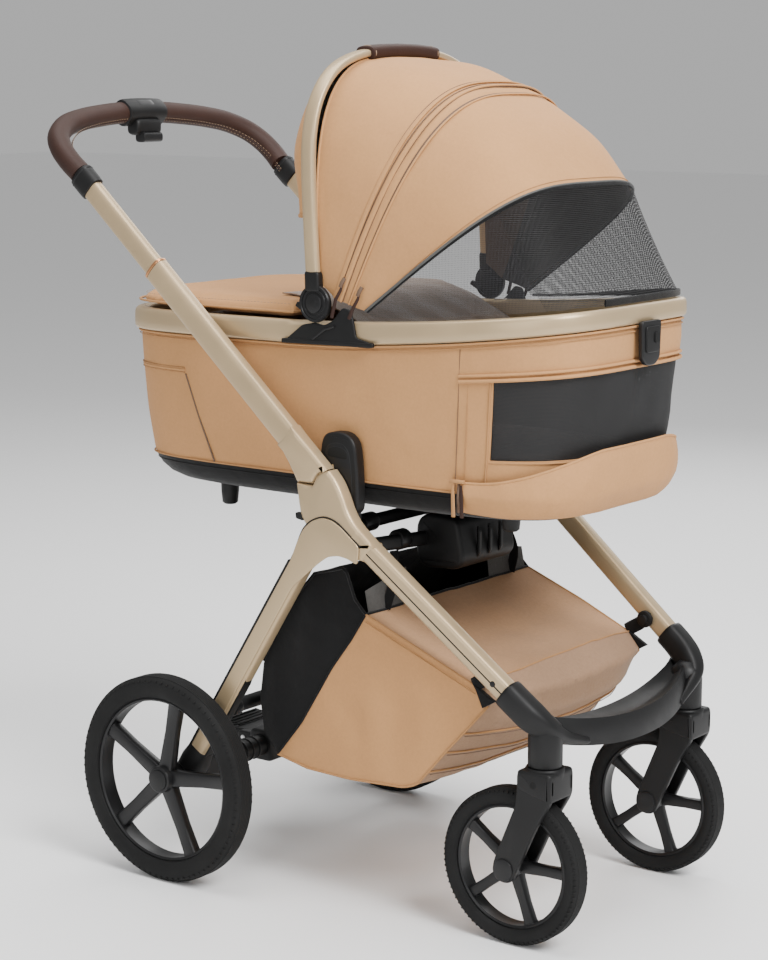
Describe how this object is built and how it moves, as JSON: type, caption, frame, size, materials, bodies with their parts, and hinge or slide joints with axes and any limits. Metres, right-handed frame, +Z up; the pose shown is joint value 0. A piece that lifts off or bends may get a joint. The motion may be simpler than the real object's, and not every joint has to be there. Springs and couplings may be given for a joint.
{
  "type": "pet stroller",
  "caption": "Folding pet stroller with a lift-off bassinet, hooded canopy with net front, mesh window, storage basket, swivel front wheels and padded push handle.",
  "frame": {"origin": "centre of the bounding box at floor level", "axes": "X across the stroller, -Y the way it rolls, +Z up"},
  "size_m": [0.564, 0.9122, 1.1447],
  "materials": {
    "champagne_paint": "satin champagne paint on aluminium tube",
    "black_plastic": "fine-textured black nylon",
    "rubber": "matt black rubber",
    "copper_ring": "bright copper-coloured ring",
    "brown_leather": "stitched dark brown leatherette",
    "tan_fabric": "tan woven polyester with a soft sheen",
    "black_fabric": "black woven polyester",
    "black_mesh": "fine black mesh",
    "taupe_fabric": "soft taupe lining"
  },
  "bodies": {
    "frame": {"front_leg_right": "champagne_paint", "front_leg_left": "champagne_paint", "footrest_crosspiece": "black_plastic", "frame_hub_right": "champagne_paint", "frame_hub_left": "champagne_paint", "hub_cross_tube": "black_plastic", "latch_cover": "black_plastic", "bassinet_adapter_right": "black_plastic", "bassinet_adapter_left": "black_plastic", "basket": "tan_fabric", "basket_rear_panel": "black_fabric", "basket_clip_right": "black_plastic", "basket_clip_left": "black_plastic"},
    "handle_lower": {"lower_handle_tube_right": "champagne_paint", "lower_handle_tube_left": "champagne_paint", "tube_ring_right": "copper_ring", "tube_ring_left": "copper_ring"},
    "handle_upper": {"upper_handle_tube_right": "champagne_paint", "upper_handle_tube_left": "champagne_paint", "grip_collar_right": "black_plastic", "grip_collar_left": "black_plastic", "handle_grip": "brown_leather", "fold_release_housing": "black_plastic"},
    "release_button": {"fold_release_button": "black_plastic"},
    "rear_frame": {"rear_leg_right": "champagne_paint", "rear_leg_left": "champagne_paint", "rear_axle_beam": "black_plastic", "rear_cross_bar": "black_plastic", "brake_housing": "black_plastic"},
    "brake_lever": {"brake_pedal": "black_plastic"},
    "bassinet": {"bassinet_shell": "tan_fabric", "mesh_window": "black_mesh", "bassinet_rim": "champagne_paint", "bassinet_base": "black_plastic", "mattress": "taupe_fabric", "window_flap": "tan_fabric", "apron_cover": "tan_fabric", "front_clip": "black_plastic", "canopy_rear_fabric": "tan_fabric", "canopy_bracket_right": "black_plastic", "canopy_bracket_left": "black_plastic"},
    "bow": {"canopy_bow": "champagne_paint", "bow_grip": "brown_leather", "canopy_hood": "tan_fabric", "canopy_hinge_right": "black_plastic", "canopy_hinge_left": "black_plastic"},
    "visor": {"canopy_visor_fabric": "tan_fabric", "visor_net": "black_mesh"},
    "rear_wheel_right": {"rear_tyre_right": "rubber", "rear_rim_right": "black_plastic"},
    "caster_right": {"caster_fork_right": "black_plastic"},
    "front_wheel_right": {"front_tyre_right": "rubber", "front_rim_right": "black_plastic"},
    "hinge_button_right": {"hinge_button_right": "black_plastic"},
    "rear_wheel_left": {"rear_tyre_left": "rubber", "rear_rim_left": "black_plastic"},
    "caster_left": {"caster_fork_left": "black_plastic"},
    "front_wheel_left": {"front_tyre_left": "rubber", "front_rim_left": "black_plastic"},
    "hinge_button_left": {"hinge_button_left": "black_plastic"}
  },
  "joints": [
    {"name": "handle_fold", "type": "hinge", "parent": "frame", "child": "handle_lower", "pos_m": [0, -0.09512, 0.566], "axis": [1, 0, 0], "range_deg": [0, 142]},
    {"name": "handle_telescope", "type": "slide", "parent": "handle_lower", "child": "handle_upper", "axis": [0, 0.7431, 0.6691], "range_m": [-0.12, 0]},
    {"name": "fold_release", "type": "slide", "parent": "handle_upper", "child": "release_button", "axis": [0, 0.7431, 0.6691], "range_m": [0, 0.003], "stiffness_N_per_m": 300},
    {"name": "rear_fold", "type": "hinge", "parent": "frame", "child": "rear_frame", "pos_m": [0, -0.08712, 0.508], "axis": [1, 0, 0], "range_deg": [-42.6, 0], "deforming": ["basket", "basket_rear_panel"]},
    {"name": "brake", "type": "hinge", "parent": "rear_frame", "child": "brake_lever", "pos_m": [0, 0.20288, 0.15], "axis": [1, 0, 0], "range_deg": [-14, 0]},
    {"name": "bassinet_lift", "type": "slide", "parent": "frame", "child": "bassinet", "axis": [0, 0, 1], "range_m": [0, 0.3]},
    {"name": "canopy_bow_turn", "type": "hinge", "parent": "bassinet", "child": "bow", "pos_m": [0, -0.04712, 0.811], "axis": [1, 0, 0], "range_deg": [0, 24], "deforming": ["canopy_rear_fabric"]},
    {"name": "visor_turn", "type": "hinge", "parent": "bassinet", "child": "visor", "pos_m": [0, -0.04712, 0.811], "axis": [1, 0, 0], "range_deg": [-33, 0], "deforming": ["canopy_visor_fabric"]},
    {"name": "rear_wheel_spin_right", "type": "hinge", "parent": "rear_frame", "child": "rear_wheel_right", "pos_m": [-0.263, 0.16988, 0.145], "axis": [1, 0, 0], "continuous": true},
    {"name": "caster_swivel_right", "type": "hinge", "parent": "frame", "child": "caster_right", "pos_m": [-0.18, -0.39612, 0.15], "axis": [0, 0, 1], "continuous": true},
    {"name": "front_wheel_spin_right", "type": "hinge", "parent": "caster_right", "child": "front_wheel_right", "pos_m": [-0.18, -0.35212, 0.104], "axis": [1, 0, 0], "continuous": true},
    {"name": "hinge_button_push_right", "type": "slide", "parent": "bow", "child": "hinge_button_right", "axis": [1, 0, 0], "range_m": [0, 0.003], "stiffness_N_per_m": 300},
    {"name": "rear_wheel_spin_left", "type": "hinge", "parent": "rear_frame", "child": "rear_wheel_left", "pos_m": [0.263, 0.16988, 0.145], "axis": [1, 0, 0], "continuous": true},
    {"name": "caster_swivel_left", "type": "hinge", "parent": "frame", "child": "caster_left", "pos_m": [0.18, -0.39612, 0.15], "axis": [0, 0, 1], "continuous": true},
    {"name": "front_wheel_spin_left", "type": "hinge", "parent": "caster_left", "child": "front_wheel_left", "pos_m": [0.18, -0.35212, 0.104], "axis": [1, 0, 0], "continuous": true},
    {"name": "hinge_button_push_left", "type": "slide", "parent": "bow", "child": "hinge_button_left", "axis": [-1, 0, 0], "range_m": [0, 0.003], "stiffness_N_per_m": 300}
  ],
  "couplings": [
    {"joint": "rear_fold", "follows": "handle_fold", "ratio": -0.3}
  ]
}
